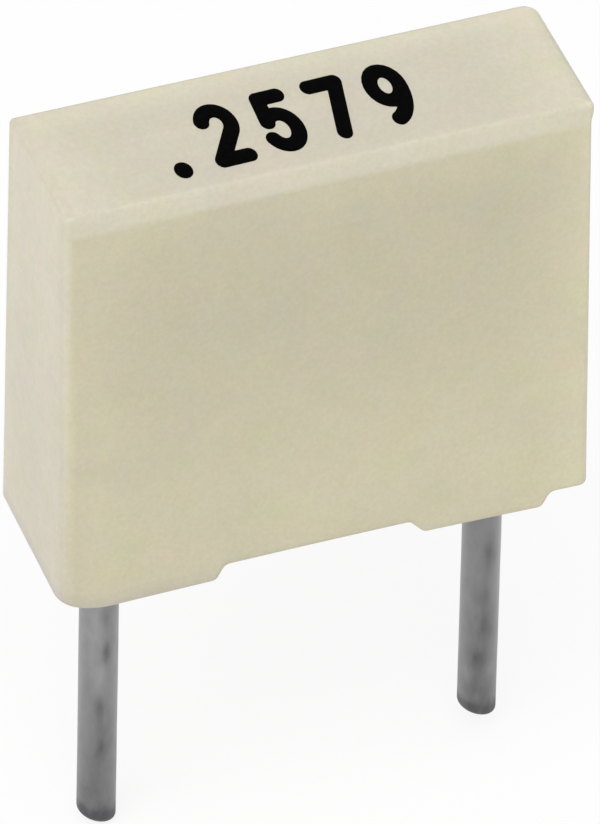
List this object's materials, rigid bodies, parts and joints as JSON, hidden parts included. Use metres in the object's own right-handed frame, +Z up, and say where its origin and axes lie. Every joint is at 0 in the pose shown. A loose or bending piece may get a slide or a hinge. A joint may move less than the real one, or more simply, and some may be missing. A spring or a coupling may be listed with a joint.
{
  "type": "film capacitor",
  "caption": "Boxed film capacitor: a drafted plastic cup on four short feet, sealed with resin, holding a flattened film winding, with two straight wire leads below.",
  "frame": {"origin": "on the board plane, where the feet stand, midway between the two leads", "axes": "+X from the left lead to the right lead along the case's length, +Y through its thickness to the back, +Z up from the board to the marked top face"},
  "size_m": [0.007, 0.0024, 0.0108],
  "materials": {
    "case_plastic": "fine matt moulding, cream",
    "potting_resin": "cured resin, slightly glossy",
    "metallised_film": "wound metallised film",
    "sprayed_metal": "rough sprayed zinc",
    "tinned_wire": "dull matt tin, mottled"
  },
  "bodies": {
    "root": {"case": "case_plastic", "resin_fill": "potting_resin", "film_winding": "metallised_film", "end_spray_left": "sprayed_metal", "end_spray_right": "sprayed_metal", "lead_left": "tinned_wire", "lead_right": "tinned_wire"}
  },
  "joints": []
}
